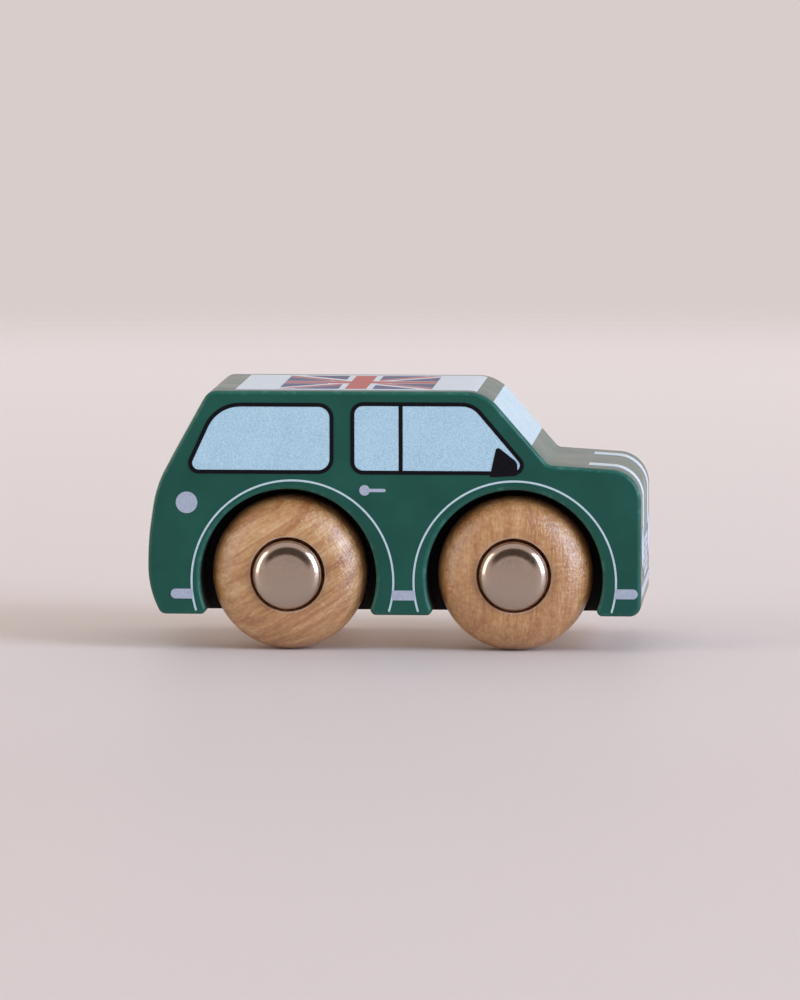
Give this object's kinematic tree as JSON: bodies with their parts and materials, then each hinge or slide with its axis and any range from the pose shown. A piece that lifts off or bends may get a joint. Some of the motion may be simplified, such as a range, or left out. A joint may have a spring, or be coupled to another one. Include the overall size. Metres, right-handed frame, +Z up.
{
  "type": "toy car",
  "caption": "Palm-sized wooden push car: a rounded painted block with blind wheel arches and domed wooden wheels that turn on capped steel axles.",
  "frame": {"origin": "on the floor under the middle of the car", "axes": "+X forward along the car, +Y to the car's left, +Z up"},
  "size_m": [0.075, 0.0392, 0.0396],
  "materials": {
    "body_paint": "satin green paint on wood",
    "wheel_wood": "bare turned beech, lightly waxed",
    "cap_nickel": "nickel-plated pressed steel",
    "axle_steel": "drawn bright steel rod",
    "nut_steel": "hardened spring steel"
  },
  "bodies": {
    "body": {"body_block": "body_paint"},
    "rear_axle_unit": {"axle_rear": "axle_steel", "hub_cap_rear_left": "cap_nickel", "hub_cap_rear_right": "cap_nickel", "push_nut_rear_left": "nut_steel", "push_nut_rear_right": "nut_steel"},
    "front_axle_unit": {"axle_front": "axle_steel", "hub_cap_front_left": "cap_nickel", "hub_cap_front_right": "cap_nickel", "push_nut_front_left": "nut_steel", "push_nut_front_right": "nut_steel"},
    "rear_left_wheel": {"wheel_rear_left": "wheel_wood"},
    "rear_right_wheel": {"wheel_rear_right": "wheel_wood"},
    "front_left_wheel": {"wheel_front_left": "wheel_wood"},
    "front_right_wheel": {"wheel_front_right": "wheel_wood"}
  },
  "joints": [
    {"name": "rear_axle_spin", "type": "hinge", "parent": "body", "child": "rear_axle_unit", "pos_m": [-0.01615, 0, 0.01179], "axis": [0, 1, 0], "continuous": true},
    {"name": "front_axle_spin", "type": "hinge", "parent": "body", "child": "front_axle_unit", "pos_m": [0.01825, 0, 0.01179], "axis": [0, 1, 0], "continuous": true},
    {"name": "rear_left_wheel_spin", "type": "hinge", "parent": "rear_axle_unit", "child": "rear_left_wheel", "pos_m": [-0.01615, 0.0136, 0.01179], "axis": [0, 1, 0], "continuous": true},
    {"name": "rear_right_wheel_spin", "type": "hinge", "parent": "rear_axle_unit", "child": "rear_right_wheel", "pos_m": [-0.01615, -0.0136, 0.01179], "axis": [0, 1, 0], "continuous": true},
    {"name": "front_left_wheel_spin", "type": "hinge", "parent": "front_axle_unit", "child": "front_left_wheel", "pos_m": [0.01825, 0.0136, 0.01179], "axis": [0, 1, 0], "continuous": true},
    {"name": "front_right_wheel_spin", "type": "hinge", "parent": "front_axle_unit", "child": "front_right_wheel", "pos_m": [0.01825, -0.0136, 0.01179], "axis": [0, 1, 0], "continuous": true}
  ]
}
